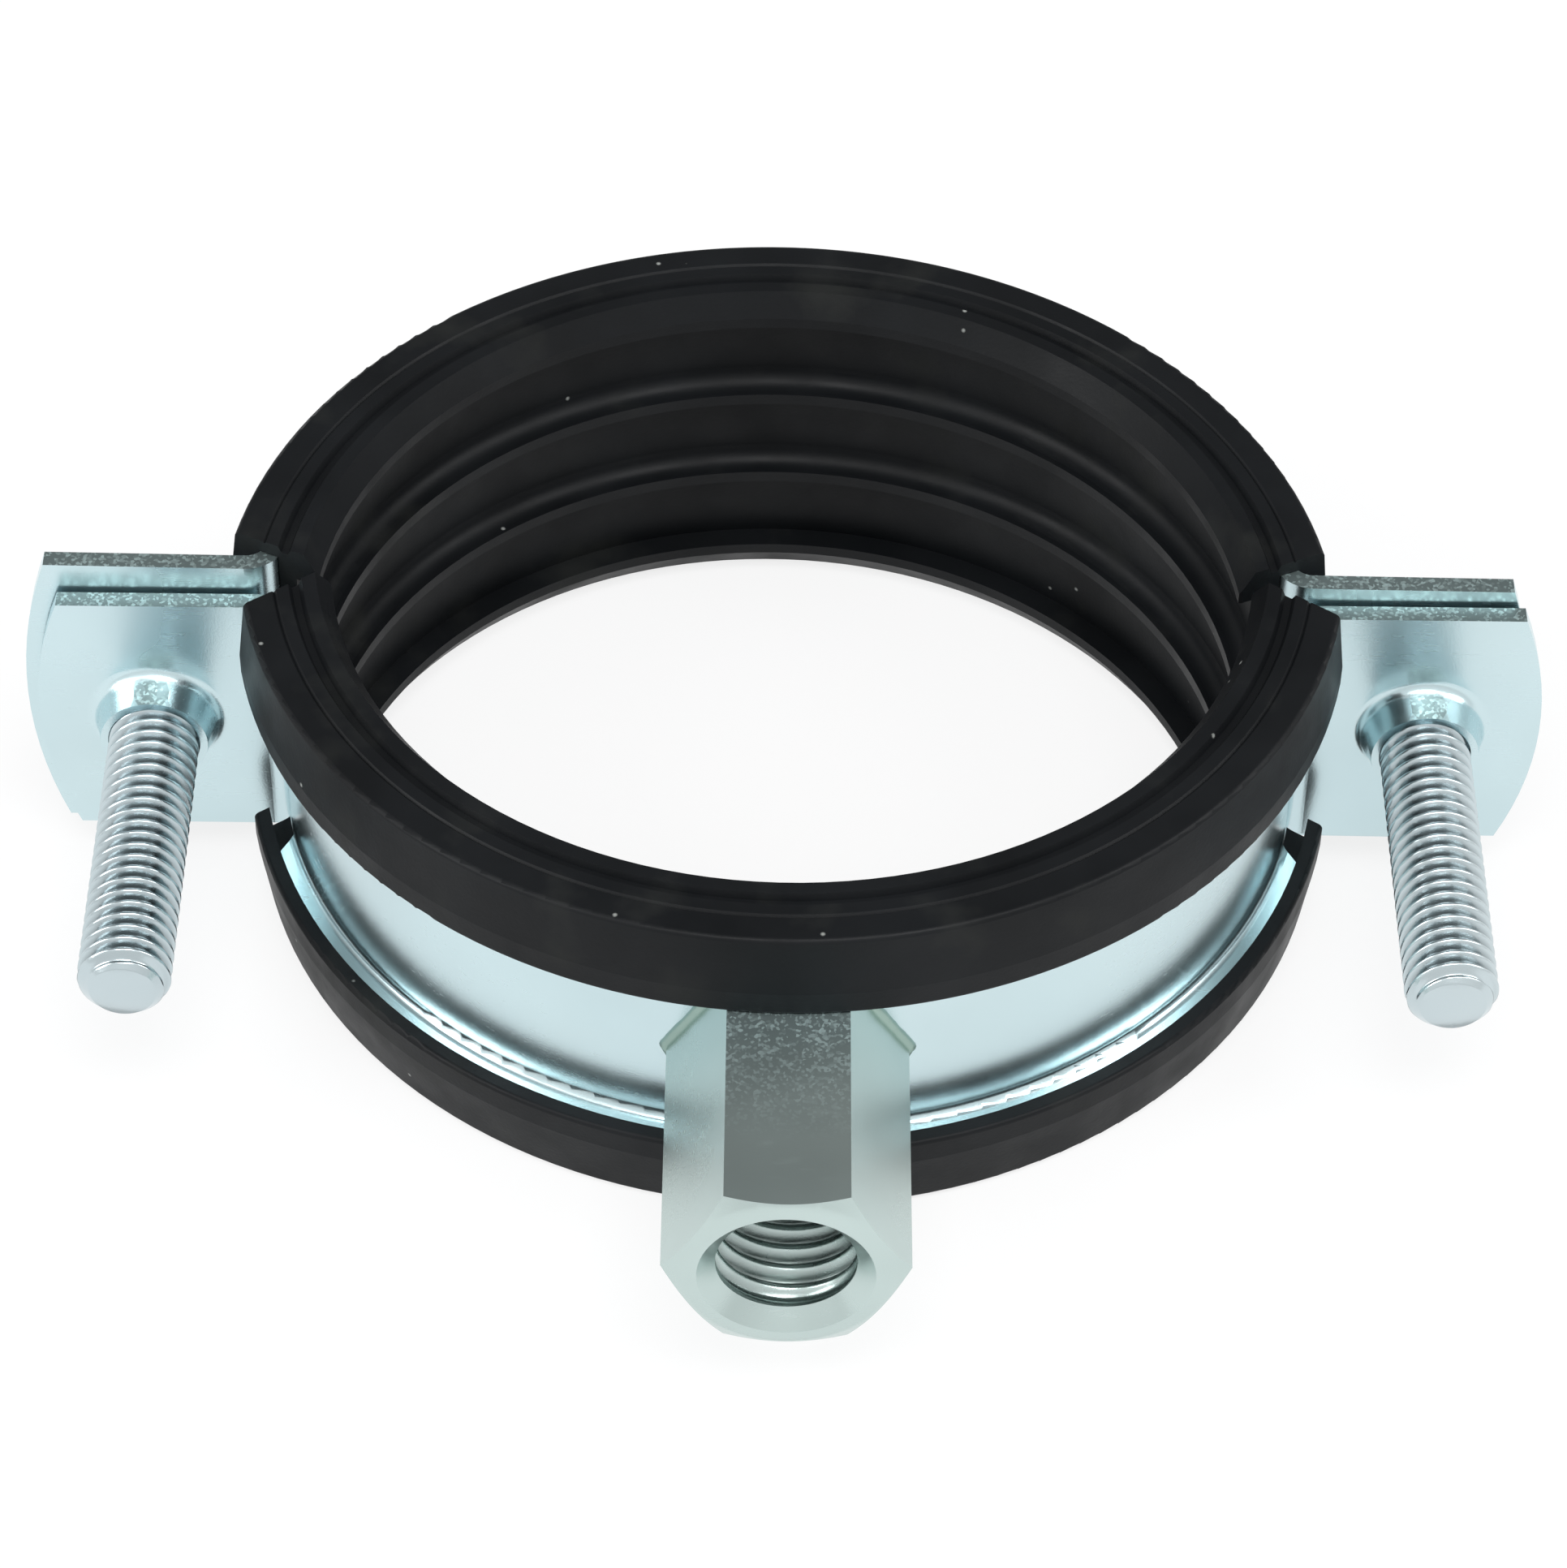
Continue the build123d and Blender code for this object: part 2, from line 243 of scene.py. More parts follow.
def noise(tree, where, scale, detail=2.0, rough=0.5, distort=0.0):
    made = node(tree, "ShaderNodeTexNoise")
    link(tree, where, made.inputs["Vector"])
    made.inputs["Scale"].default_value = scale
    made.inputs["Detail"].default_value = detail
    made.inputs["Roughness"].default_value = rough
    made.inputs["Distortion"].default_value = distort
    return made.outputs["Fac"]


def new_group(name, inputs, outputs):
    """Shader node group with named sockets."""
    group = bpy.data.node_groups.new(name, "ShaderNodeTree")
    for label, kind, value in inputs:
        socket = group.interface.new_socket(name=label, in_out="INPUT", socket_type=kind)
        if value is not None:
            socket.default_value = value
    for label, kind in outputs:
        group.interface.new_socket(name=label, in_out="OUTPUT", socket_type=kind)
    return group, group.nodes.new("NodeGroupInput"), group.nodes.new("NodeGroupOutput")


def plate_group():
    """Zinc plate: cloudy tone, fine grain, faint scratches and bright cells for painted glints."""
    group, given, made = new_group(
        "zinc plate",
        [("Vector", "NodeSocketVector", None), ("Grain Scale", "NodeSocketFloat", 9000.0),
         ("Cloud Scale", "NodeSocketFloat", 60.0), ("Polish", "NodeSocketFloat", 0.2)],
        [("Cloud", "NodeSocketFloat"), ("Grain", "NodeSocketFloat"),
         ("Painted Glints", "NodeSocketFloat"), ("Roughness", "NodeSocketFloat")])
    where = given.outputs["Vector"]
    cloud = node(group, "ShaderNodeTexNoise")
    link(group, where, cloud.inputs["Vector"])
    link(group, given.outputs["Cloud Scale"], cloud.inputs["Scale"])
    cloud.inputs["Detail"].default_value = 3.0
    grain = node(group, "ShaderNodeTexNoise")
    link(group, where, grain.inputs["Vector"])
    link(group, given.outputs["Grain Scale"], grain.inputs["Scale"])
    grain.inputs["Detail"].default_value = 2.0
    # the brighter cells become painted glints on the sheared edges
    cells = node(group, "ShaderNodeTexVoronoi", feature="F1")
    link(group, where, cells.inputs["Vector"])
    cells.inputs["Scale"].default_value = 5200.0
    tone = node(group, "ShaderNodeSeparateColor")
    link(group, cells.outputs["Color"], tone.inputs["Color"])
    painted_glints = ramp(group, tone.outputs["Red"], 0.55, 1.0)
    stretch = node(group, "ShaderNodeMapping")
    link(group, where, stretch.inputs["Vector"])
    stretch.inputs["Scale"].default_value = (0.25, 1.0, 3.0)
    stretch.inputs["Rotation"].default_value = (0.0, 0.5, 0.3)
    scratch = ramp(group, noise(group, stretch.outputs["Vector"], 1900.0, 1.0), 0.63, 0.72)
    clouded = ramp(group, cloud.outputs["Fac"], 0.3, 0.7, 0.0, 0.09)
    rough = calc(group, "ADD", given.outputs["Polish"], clouded)
    rough = calc(group, "ADD", rough, calc(group, "MULTIPLY", scratch, 0.03))
    link(group, cloud.outputs["Fac"], made.inputs["Cloud"])
    link(group, grain.outputs["Fac"], made.inputs["Grain"])
    link(group, painted_glints, made.inputs["Painted Glints"])
    link(group, rough, made.inputs["Roughness"])
    return group


def speck_group():
    """Sparse pale specks and broad rubbed patches."""
    group, given, made = new_group(
        "specks and scuffs",
        [("Vector", "NodeSocketVector", None), ("Speck Scale", "NodeSocketFloat", 700.0),
         ("Scuff Scale", "NodeSocketFloat", 160.0)],
        [("Specks", "NodeSocketFloat"), ("Scuffs", "NodeSocketFloat")])
    where = given.outputs["Vector"]
    dots = node(group, "ShaderNodeTexVoronoi", feature="F1")
    link(group, where, dots.inputs["Vector"])
    link(group, given.outputs["Speck Scale"], dots.inputs["Scale"])
    pick = node(group, "ShaderNodeSeparateColor")
    link(group, dots.outputs["Color"], pick.inputs["Color"])
    rare = calc(group, "GREATER_THAN", pick.outputs["Green"], 0.93)
    spot = ramp(group, dots.outputs["Distance"], 0.05, 0.13, 1.0, 0.0)
    scuff = node(group, "ShaderNodeTexNoise")
    link(group, where, scuff.inputs["Vector"])
    link(group, given.outputs["Scuff Scale"], scuff.inputs["Scale"])
    scuff.inputs["Detail"].default_value = 4.0
    link(group, calc(group, "MULTIPLY", rare, spot), made.inputs["Specks"])
    link(group, ramp(group, scuff.outputs["Fac"], 0.56, 0.74), made.inputs["Scuffs"])
    return group


def start_material(name):
    if name in bpy.data.materials:
        raise RuntimeError("the file already has a material called " + name)
    material = bpy.data.materials.new(name)
    material.use_nodes = True
    tree = material.node_tree
    shader = tree.nodes["Principled BSDF"]
    place = node(tree, "ShaderNodeTexCoord")
    return material, tree, shader, place.outputs["Object"]


def root_shade_mask(tree, where, side, low, high, out_low, start, end):
    """Mask for painted shade in the root of a thread along Y at x = +side and -side, between two heights of
    Y.

    out_low is 1 where the root is the inner radius, and 0 where it is the outer one.
    """
    split = node(tree, "ShaderNodeSeparateXYZ")
    link(tree, where, split.inputs[0])
    across = calc(tree, "SUBTRACT", calc(tree, "ABSOLUTE", split.outputs["X"]), side)
    square = calc(tree, "ADD", calc(tree, "MULTIPLY", across, across),
                  calc(tree, "MULTIPLY", split.outputs["Z"], split.outputs["Z"]))
    away = calc(tree, "SQRT", square)
    root = ramp(tree, away, low, high, out_low, 1.0 - out_low)
    root = calc(tree, "MULTIPLY", root, calc(tree, "LESS_THAN", away, high + 0.4 * MM))
    root = calc(tree, "MULTIPLY", root, ramp(tree, split.outputs["Y"], start - 0.2 * MM, start + 0.2 * MM))
    before_end = ramp(tree, split.outputs["Y"], end - 0.2 * MM, end + 0.2 * MM, 1.0, 0.0)
    return calc(tree, "MULTIPLY", root, before_end)


def zinc_material(name, base, group, sheared, grain_height, polish, shear_amount, cloud_amount=0.08,
                  groove=None, rough_from=None):
    """Plated steel; faces along the pipe are duller sheared edges with painted glints near the split, or
    past rough_from; groove adds painted shade in thread roots.
    """
    material, tree, shader, where = start_material(name)
    plate = node(tree, "ShaderNodeGroup", node_tree=group)
    link(tree, where, plate.inputs["Vector"])
    plate.inputs["Polish"].default_value = polish
    base = tuple(base)
    darker = tuple(c * (1.0 - cloud_amount) for c in base)
    warmer = (base[0] * 1.05, base[1] * 1.0, base[2] * 0.97)
    tone = mix_colour(tree, ramp(tree, plate.outputs["Cloud"], 0.35, 0.65), darker, base)
    drift = noise(tree, where, 26.0, 2.0)
    tone = mix_colour(tree, ramp(tree, drift, 0.5, 0.75, 0.0, 0.6), tone, warmer)
    facing = node(tree, "ShaderNodeSeparateXYZ")
    shape = node(tree, "ShaderNodeNewGeometry")
    link(tree, shape.outputs["True Normal"], facing.inputs["Vector"])
    spot = node(tree, "ShaderNodeSeparateXYZ")
    link(tree, where, spot.inputs["Vector"])
    upright = ramp(tree, calc(tree, "ABSOLUTE", facing.outputs["Z"]), 0.9, 0.97)
    dull_from = ramp(tree, calc(tree, "ABSOLUTE", spot.outputs["Y"]), 0.004, 0.0055, 1.0, 0.0)
    if rough_from:
        dull_from = ramp(tree, spot.outputs["Y"], *rough_from)
    cut = calc(tree, "MULTIPLY", upright, dull_from)
    cut = calc(tree, "MULTIPLY", cut, shear_amount)
    # sheared edges: their grain is painted darker and lighter cell by cell, and the light cells are painted
    # glints
    sheared_with_painted_glints = mix_colour(
        tree, plate.outputs["Painted Glints"], tuple(c * 0.75 for c in sheared),
        tuple(min(1.0, c * 1.75) for c in sheared))
    tone = mix_colour(tree, cut, tone, sheared_with_painted_glints)
    # painted shade: the thread roots are darkened towards a dark tone of the base, standing in for the
    # shade in the grooves
    if groove:
        painted_root_shade = calc(tree, "MULTIPLY", root_shade_mask(tree, where, *groove), 0.75)
        tone = mix_colour(tree, painted_root_shade, tone, tuple(c * 0.22 for c in base))
    link(tree, tone, shader.inputs["Base Color"])
    rough = calc(tree, "ADD", plate.outputs["Roughness"], calc(tree, "MULTIPLY", cut, 0.22))
    link(tree, rough, shader.inputs["Roughness"])
    shader.inputs["Metallic"].default_value = 1.0
    bump = node(tree, "ShaderNodeBump")
    bump.inputs["Distance"].default_value = grain_height
    bump.inputs["Strength"].default_value = 0.35
    waves = calc(tree, "MULTIPLY", plate.outputs["Cloud"], 2.0)
    height = calc(tree, "ADD", plate.outputs["Grain"], waves)
    link(tree, height, bump.inputs["Height"])
    link(tree, bump.outputs["Normal"], shader.inputs["Normal"])
    return material


def rubber_material(name, base, dust, specks):
    """Matt black rubber with extrusion grain, specks and pale rubbed patches."""
    material, tree, shader, where = start_material(name)
    marks = node(tree, "ShaderNodeGroup", node_tree=specks)
    link(tree, where, marks.inputs["Vector"])
    base = tuple(base)
    lighter = tuple(c * 1.6 + 0.0015 for c in base)
    tone = mix_colour(tree, ramp(tree, noise(tree, where, 90.0, 4.0), 0.35, 0.7), base, lighter)
    rub = calc(tree, "MULTIPLY", marks.outputs["Scuffs"], 0.022)
    tone = mix_colour(tree, rub, tone, (0.30, 0.31, 0.25))
    dots = calc(tree, "MULTIPLY", marks.outputs["Specks"], 0.55)
    link(tree, mix_colour(tree, dots, tone, tuple(dust)), shader.inputs["Base Color"])
    fine = noise(tree, where, 3800.0, 2.0)
    rough = calc(tree, "ADD", ramp(tree, noise(tree, where, 240.0, 3.0), 0.3, 0.7, 0.40, 0.54),
                 calc(tree, "MULTIPLY", marks.outputs["Scuffs"], 0.12))
    link(tree, rough, shader.inputs["Roughness"])
    shader.inputs["Specular IOR Level"].default_value = 0.16
    bump = node(tree, "ShaderNodeBump")
    bump.inputs["Distance"].default_value = 0.02 * MM
    bump.inputs["Strength"].default_value = 0.45
    raised = calc(tree, "MULTIPLY", marks.outputs["Specks"], 1.5)
    link(tree, calc(tree, "ADD", fine, raised), bump.inputs["Height"])
    link(tree, bump.outputs["Normal"], shader.inputs["Normal"])
    return material


# ---- geometry node trees ----
def shape_tree(name, sockets):
    """Empty geometry tree with named inputs; returns it with its input sockets and output node."""
    tree = bpy.data.node_groups.new(name, "GeometryNodeTree")
    tree.interface.new_socket(name="Geometry", in_out="INPUT", socket_type="NodeSocketGeometry")
    for label, kind in sockets:
        tree.interface.new_socket(name=label, in_out="INPUT", socket_type="NodeSocket" + kind)
    tree.interface.new_socket(name="Geometry", in_out="OUTPUT", socket_type="NodeSocketGeometry")
    return tree, tree.nodes.new("NodeGroupInput").outputs, tree.nodes.new("NodeGroupOutput")


def unit_grid(tree, columns, rows):
    """Grid one unit wide and high; returns its mesh and each point's share of width and height."""
    grid = node(tree, "GeometryNodeMeshGrid")
    grid.inputs["Size X"].default_value = 1.0
    grid.inputs["Size Y"].default_value = 1.0
    link(tree, columns, grid.inputs["Vertices X"])
    link(tree, rows, grid.inputs["Vertices Y"])
    place = node(tree, "ShaderNodeSeparateXYZ")
    link(tree, node(tree, "GeometryNodeInputPosition").outputs[0], place.inputs[0])
    shares = [calc(tree, "ADD", place.outputs[axis], 0.5) for axis in "XY"]
    return grid.outputs["Mesh"], shares[0], shares[1]


def point(tree, x, y, z):
    """Vector from three sockets."""
    made = node(tree, "ShaderNodeCombineXYZ")
    for axis, value in (("X", x), ("Y", y), ("Z", z)):
        link(tree, value, made.inputs[axis])
    return made.outputs[0]


def bend_and_close(tree, mesh, where, finish, made, flip=None):
    """Move the grid's points, join its seams, shade it smooth and end the tree."""
    move = node(tree, "GeometryNodeSetPosition")
    link(tree, mesh, move.inputs["Geometry"])
    link(tree, where, move.inputs["Position"])
    join = node(tree, "GeometryNodeMergeByDistance")
    link(tree, move.outputs[0], join.inputs["Geometry"])
    join.inputs["Distance"].default_value = SEAM_DISTANCE
    shape = join.outputs[0]
    if flip is not None:
        turned = node(tree, "GeometryNodeFlipFaces")
        link(tree, shape, turned.inputs["Mesh"])
        link(tree, flip, turned.inputs["Selection"])
        shape = turned.outputs[0]
    smooth = node(tree, "GeometryNodeSetShadeSmooth")
    link(tree, shape, smooth.inputs["Geometry"])
    real = node(tree, "GeometryNodeRealizeInstances")
    link(tree, smooth.outputs[0], real.inputs[0])
    paint = node(tree, "GeometryNodeSetMaterial")
    link(tree, real.outputs[0], paint.inputs["Geometry"])
    link(tree, finish, paint.inputs["Material"])
    link(tree, paint.outputs[0], made.inputs[0])


def thread_tree():
    """Right-hand thread along +Y: a solid with closed ends, or a bore whose grooves fade out."""
    tree, given, made = shape_tree("screw thread", (
        ("Pitch", "Float"), ("Crest Radius", "Float"), ("Root Radius", "Float"),
        ("Start", "Float"), ("Length", "Float"), ("Side", "Float"), ("Point Radius", "Float"),
        ("Facets", "Int"), ("Rows", "Int"), ("Inside", "Bool"), ("Material", "Material")))
    mesh, turn, along = unit_grid(tree, calc(tree, "ADD", given["Facets"], 1.0), given["Rows"])
    last = calc(tree, "SUBTRACT", given["Rows"], 1.0)
    last_inner = calc(tree, "SUBTRACT", last, 2.0)
    row = calc(tree, "ROUND", calc(tree, "MULTIPLY", along, last))
    # the first and last rows repeat their neighbour's height, so that they can close the ends
    inner_row = calc(tree, "MAXIMUM", calc(tree, "SUBTRACT", row, 1.0), 0.0)
    inner_row = calc(tree, "MINIMUM", inner_row, last_inner)
    run = calc(tree, "MULTIPLY", inner_row, calc(tree, "DIVIDE", given["Length"], last_inner))
    left = calc(tree, "SUBTRACT", given["Length"], run)
    phase = calc(tree, "FRACT", calc(tree, "SUBTRACT", calc(tree, "DIVIDE", run, given["Pitch"]), turn))
    wave = calc(tree, "MULTIPLY", calc(tree, "ABSOLUTE", calc(tree, "SUBTRACT", phase, 0.5)), 2.0)
    flank = ramp(tree, wave, FLAT_SHARE, 1.0 - FLAT_SHARE)
    depth = calc(tree, "SUBTRACT", given["Crest Radius"], given["Root Radius"])
    relief = calc(tree, "MULTIPLY", depth, flank)
    # outside: the point is a cone, and the end rows close on the axis
    radius = calc(tree, "ADD", given["Root Radius"], relief)
    radius = calc(tree, "MINIMUM", radius, calc(tree, "ADD", given["Point Radius"], run))
    after_first = calc(tree, "GREATER_THAN", row, 0.5)
    before_last = calc(tree, "LESS_THAN", row, calc(tree, "SUBTRACT", last, 0.5))
    outside = calc(tree, "MULTIPLY", radius, calc(tree, "MULTIPLY", after_first, before_last))
    # inside: the grooves fade out at both ends
    fade = calc(tree, "DIVIDE", calc(tree, "MINIMUM", run, left), given["Pitch"], clamp=True)
    inside = calc(tree, "ADD", given["Root Radius"], calc(tree, "MULTIPLY", relief, fade))
    choose = node(tree, "GeometryNodeSwitch", input_type="FLOAT")
    link(tree, given["Inside"], choose.inputs["Switch"])
    link(tree, outside, choose.inputs["False"])
    link(tree, inside, choose.inputs["True"])
    angle = calc(tree, "MULTIPLY", turn, 2.0 * pi)
    across = calc(tree, "MULTIPLY", choose.outputs[0], calc(tree, "SINE", angle))
    where = point(
        tree, calc(tree, "ADD", given["Side"], across), calc(tree, "ADD", given["Start"], run),
        calc(tree, "MULTIPLY", choose.outputs[0], calc(tree, "COSINE", angle)))
    bend_and_close(tree, mesh, where, given["Material"], made, flip=given["Inside"])
    return tree


def weld_tree():
    """A rippled bead along the seam of an upright hexagon and a round band."""
    tree, given, made = shape_tree("weld bead", (
        ("Half Flats", "Float"), ("Band Radius", "Float"), ("Band Centre", "Float"),
        ("Bead Radius", "Float"), ("Ripple", "Float"), ("Seed", "Float"),
        ("Around", "Int"), ("Sides", "Int"), ("Material", "Material")))
    mesh, around, beside = unit_grid(
        tree, calc(tree, "ADD", given["Around"], 1.0), calc(tree, "ADD", given["Sides"], 1.0))
    turn = calc(tree, "MULTIPLY", around, 2.0 * pi)
    ring = calc(tree, "MULTIPLY", beside, 2.0 * pi)
    sine, cosine = calc(tree, "SINE", turn), calc(tree, "COSINE", turn)
    # the middle of a flat lies at turn 0, 60, 120 degrees and so on
    offset = calc(tree, "WRAP", turn, pi / 6, -pi / 6)
    outline = calc(tree, "DIVIDE", given["Half Flats"], calc(tree, "COSINE", offset))
    bumps = noise(tree, point(tree, sine, cosine, given["Seed"]), 7.0, 1.0)
    ripple = calc(tree, "MULTIPLY", calc(tree, "SUBTRACT", bumps, 0.5), given["Ripple"])
    bead = calc(tree, "MULTIPLY", given["Bead Radius"], calc(tree, "ADD", 1.0, ripple))
    away = calc(tree, "ADD", outline, calc(tree, "MULTIPLY", bead, calc(tree, "COSINE", ring)))
    seam_x = calc(tree, "MULTIPLY", outline, sine)
    square = calc(tree, "MULTIPLY", given["Band Radius"], given["Band Radius"])
    drop = calc(tree, "SQRT", calc(tree, "SUBTRACT", square, calc(tree, "MULTIPLY", seam_x, seam_x)))
    seam_y = calc(tree, "SUBTRACT", given["Band Centre"], drop)
    y = calc(tree, "ADD", seam_y, calc(tree, "MULTIPLY", bead, calc(tree, "SINE", ring)))
    where = point(tree, calc(tree, "MULTIPLY", away, sine), y, calc(tree, "MULTIPLY", away, cosine))
    bend_and_close(tree, mesh, where, given["Material"], made)
    return tree


def grow(tree, name, values):
    """Run a geometry tree with named values and return the result as a plain object."""
    blank = bpy.data.meshes.new(name + "_blank")
    carrier = bpy.data.objects.new(name + "_carrier", blank)
    bpy.context.scene.collection.objects.link(carrier)
    modifier = carrier.modifiers.new("build", "NODES")
    modifier.node_group = tree
    for socket in tree.interface.items_tree:
        if socket.in_out == "INPUT" and socket.name in values:
            modifier[socket.identifier] = values[socket.name]
    graph = bpy.context.evaluated_depsgraph_get()
    mesh = bpy.data.meshes.new_from_object(carrier.evaluated_get(graph))
    bpy.data.objects.remove(carrier)
    mesh.name = name
    made = bpy.data.objects.new(name, mesh)
    bpy.context.scene.collection.objects.link(made)
    return made


def thread_rows(length, pitch, rows_per_turn):
    return int(round(length / pitch * rows_per_turn)) + 3


def merged_copy(node_name, name, drop, cap=False):
    """Copy of a CAD node's mesh, merged, without the faces that drop() picks; cap closes the holes left."""
    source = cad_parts[node_name]
    work = bmesh.new()
    work.from_mesh(source.data)
    bmesh.ops.remove_doubles(work, verts=work.verts, dist=MERGE_DISTANCE)
    unwanted = [f for f in work.faces if drop(f)]
    bmesh.ops.delete(work, geom=unwanted, context="FACES")
    if cap:
        bmesh.ops.holes_fill(work, edges=[e for e in work.edges if e.is_boundary], sides=0)
    for edge in work.edges:
        edge.smooth = len(edge.link_faces) == 2 and edge.calc_face_angle(0.0) < CREASE
    for face in work.faces:
        face.smooth = True
    mesh = bpy.data.meshes.new(name)
    work.to_mesh(mesh)
    work.free()
    made = bpy.data.objects.new(name, mesh)
    bpy.context.scene.collection.objects.link(made)
    return made


def join_pieces(main, others):
    """Join other meshes into the main one."""
    work = bmesh.new()
    for piece in [main] + others:
        work.from_mesh(piece.data)
    work.to_mesh(main.data)
    work.free()
    for piece in others:
        bpy.data.objects.remove(piece)
    return main


def face_outwards(piece):
    """Turn a closed mesh's faces outwards."""
    work = bmesh.new()
    work.from_mesh(piece.data)
    bmesh.ops.recalc_face_normals(work, faces=work.faces)
    work.to_mesh(piece.data)
    work.free()


def bridge_ring(piece, level):
    """Join the two open loops of a mesh that lie at one height of Y."""
    work = bmesh.new()
    work.from_mesh(piece.data)
    loops = [e for e in work.edges if e.is_boundary
             and all(abs(v.co.y - level) < 2.5 * RING_GAP for v in e.verts)]
    bmesh.ops.bridge_loops(work, edges=loops)
    work.to_mesh(piece.data)
    work.free()


def paint_only(piece, finish):
    """Give a piece one finish."""
    piece.data.materials.clear()
    piece.data.materials.append(finish)
    for face in piece.data.polygons:
        face.material_index = 0


def finish_called(name):
    """Finish made by the first step."""
    found = bpy.data.materials.get(name)
    if found is None or not found.use_nodes or "Principled BSDF" not in found.node_tree.nodes:
        raise RuntimeError("make the finishes first: " + name)
    return found


# ---- operators ----
class CLAMP_OT_finishes(bpy.types.Operator):
    """Make the zinc and rubber finishes and lay them on the CAD pieces"""

    bl_idname = "clamp.finishes"
    bl_label = "Zinc and rubber"

    def execute(self, context):
        finish = context.scene.clamp_finish
        plate = plate_group()
        specks = speck_group()
        zinc_material("band plate", finish.plate, plate, finish.sheared, finish.grain, 0.20, 1.0)
        # the groove values put painted shade into the nut's thread roots
        zinc_material("nut plate", finish.nut_plate, plate, finish.sheared, finish.grain, 0.24, 1.0, 0.12,
                      groove=(0.0, 4.35 * MM, 4.9 * MM, 0.0, MOUTH_THREAD[0], BACK_THREAD[1]),
                      rough_from=(-42.5 * MM, -34.0 * MM))
        # the groove values put painted shade into the screws' thread roots
        zinc_material("screw plate", finish.screw_plate, plate, finish.sheared, finish.grain, 0.17, 0.0,
                      groove=(SCREW_SIDE, 2.4 * MM, 2.85 * MM, 1.0, SCREW_POINT_END, SCREW_SEAT))
        zinc_material("weld plate", finish.weld, plate, finish.sheared, finish.grain, 0.34, 0.0, 0.25)
        rubber_material("matt rubber", finish.rubber, finish.dust, specks)
        for name in BAND_NODES:
            paint_node(name, "band plate")
        for name in LINER_NODES:
            paint_node(name, "matt rubber")
        return {"FINISHED"}


def paint_node(name, finish):
    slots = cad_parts[name].material_slots
    for entry in slots:
        entry.material = finish_called(finish)


class CLAMP_OT_screws(bpy.types.Operator):
    """Make both closing screws with a rolled M6 thread"""

    bl_idname = "clamp.screws"
    bl_label = "Closing screws"

    def execute(self, context):
        sizes = context.scene.clamp_thread
        tree = bpy.data.node_groups.get("screw thread") or thread_tree()
        for name in SCREW_NODES:
            low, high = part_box(name)
            side = (low.x + high.x) / 2
            seat = high.y - HEAD_HEIGHT

            def shank(face):
                return face.calc_center_median().y < seat - SEAT_TOLERANCE

            head = merged_copy(name, name + "_threaded", shank, cap=True)
            length = seat - low.y + SHANK_OVERLAP
            rows = thread_rows(length, sizes.screw_pitch, sizes.rows_per_turn)
            thread = grow(tree, name + "_thread", {
                "Pitch": sizes.screw_pitch, "Crest Radius": sizes.screw_major,
                "Root Radius": sizes.screw_minor, "Start": low.y, "Length": length,
                "Side": side, "Point Radius": sizes.tip_radius, "Facets": sizes.facets,
                "Rows": rows, "Inside": False, "Material": finish_called("screw plate")})
            piece = join_pieces(head, [thread])
            face_outwards(piece)
            paint_only(piece, finish_called("screw plate"))
            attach(piece, name)
            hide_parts(name)
        return {"FINISHED"}


class CLAMP_OT_nut(bpy.types.Operator):
    """Make the connection nut with its M10 and M8 threads"""

    bl_idname = "clamp.nut"
    bl_label = "Connection nut"

    def execute(self, context):
        sizes = context.scene.clamp_thread
        tree = bpy.data.node_groups.get("screw thread") or thread_tree()
        walls = (
            (MOUTH_THREAD, sizes.mouth_minor, sizes.mouth_major, sizes.mouth_pitch),
            (BACK_THREAD, sizes.back_minor, sizes.back_major, sizes.back_pitch),
        )

        def plain_wall(face):
            middle = face.calc_center_median()
            away = (middle.x ** 2 + middle.z ** 2) ** 0.5
            for (start, end), minor, _, _ in walls:
                if start < middle.y < end and abs(away - minor) < WALL_TOLERANCE:
                    return abs(face.normal.y) < 0.1
            return False

        body = merged_copy("connection_nut", "connection_nut_threaded", plain_wall)
        threads = []
        for number, ((start, end), minor, major, pitch) in enumerate(walls):
            length = end - start - 2 * RING_GAP
            rows = thread_rows(length, pitch, sizes.rows_per_turn)
            threads.append(grow(tree, "nut_thread_%d" % number, {
                "Pitch": pitch, "Crest Radius": major, "Root Radius": minor,
                "Start": start + RING_GAP, "Length": length, "Side": 0.0, "Point Radius": minor,
                "Facets": sizes.facets, "Rows": rows, "Inside": True,
                "Material": finish_called("nut plate")}))
        piece = join_pieces(body, threads)
        for (start, end), _, _, _ in walls:
            bridge_ring(piece, start)
            bridge_ring(piece, end)
        face_outwards(piece)
        paint_only(piece, finish_called("nut plate"))
        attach(piece, "front_half")
        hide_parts("connection_nut")
        return {"FINISHED"}


class CLAMP_OT_weld(bpy.types.Operator):
    """Make the weld bead between the connection nut and the front band"""

    bl_idname = "clamp.weld"
    bl_label = "Weld bead"

    def execute(self, context):
        piece = grow(weld_tree(), "weld_bead", {
            "Half Flats": NUT_HALF_FLATS, "Band Radius": BAND_RADIUS, "Band Centre": BAND_CENTRE,
            "Bead Radius": WELD_RADIUS, "Ripple": WELD_RIPPLE, "Seed": WELD_SEED,
            "Around": WELD_AROUND, "Sides": WELD_SIDES,
            "Material": finish_called("weld plate")})
        face_outwards(piece)
        paint_only(piece, finish_called("weld plate"))
        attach(piece, "front_half")
        return {"FINISHED"}


class CLAMP_OT_stage(bpy.types.Operator):
    """Set out the pale floor, soft lamps and camera"""

    bl_idname = "clamp.stage"
    bl_label = "Studio"

    def execute(self, context):
        stage = context.scene.clamp_stage
        make_floor(stage)
        make_world()
        make_lamps()
        make_camera(stage)
        context.scene.view_settings.view_transform = "Standard"
        return {"FINISHED"}


